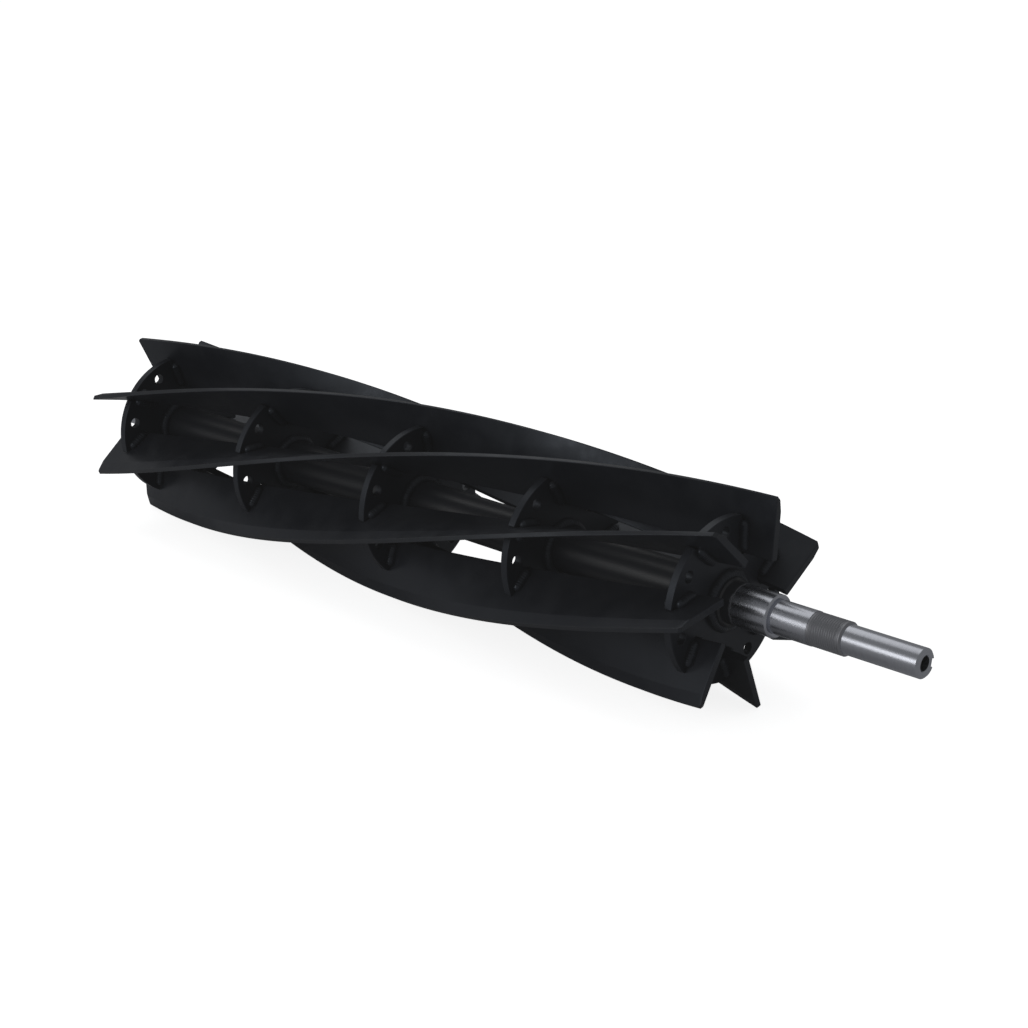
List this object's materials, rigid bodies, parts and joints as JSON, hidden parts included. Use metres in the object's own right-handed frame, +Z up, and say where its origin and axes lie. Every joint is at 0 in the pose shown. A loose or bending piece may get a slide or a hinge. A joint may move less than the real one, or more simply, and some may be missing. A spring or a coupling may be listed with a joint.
{
  "type": "reel mower cutting reel",
  "caption": "Cutting reel for a reel mower: helical blades welded into slotted discs on a stepped steel shaft with bearing seats.",
  "frame": {"origin": "on the reel axis, at the middle of the drive-end bearing seat", "axes": "+X along the reel axis towards the drive end, +Z up, +Y to the back as the reel lies in the picture"},
  "size_m": [0.6843, 0.127, 0.127],
  "materials": {
    "reel_paint": "satin black paint",
    "disc_paint": "satin black paint",
    "weld_paint": "black paint over weld beads",
    "shaft_steel": "turned and ground steel, painted black between the discs"
  },
  "bodies": {
    "root": {"reel_shaft": "shaft_steel", "disc_1": "disc_paint", "disc_2": "disc_paint", "disc_3": "disc_paint", "disc_4": "disc_paint", "disc_5": "disc_paint", "hub_welds_1": "weld_paint", "hub_welds_2": "weld_paint", "hub_welds_3": "weld_paint", "hub_welds_4": "weld_paint", "hub_welds_5": "weld_paint", "blade_1": "reel_paint", "blade_2": "reel_paint", "blade_3": "reel_paint", "blade_4": "reel_paint", "blade_5": "reel_paint", "blade_6": "reel_paint", "blade_7": "reel_paint", "blade_welds_1": "weld_paint", "blade_welds_2": "weld_paint", "blade_welds_3": "weld_paint", "blade_welds_4": "weld_paint", "blade_welds_5": "weld_paint"}
  },
  "joints": []
}
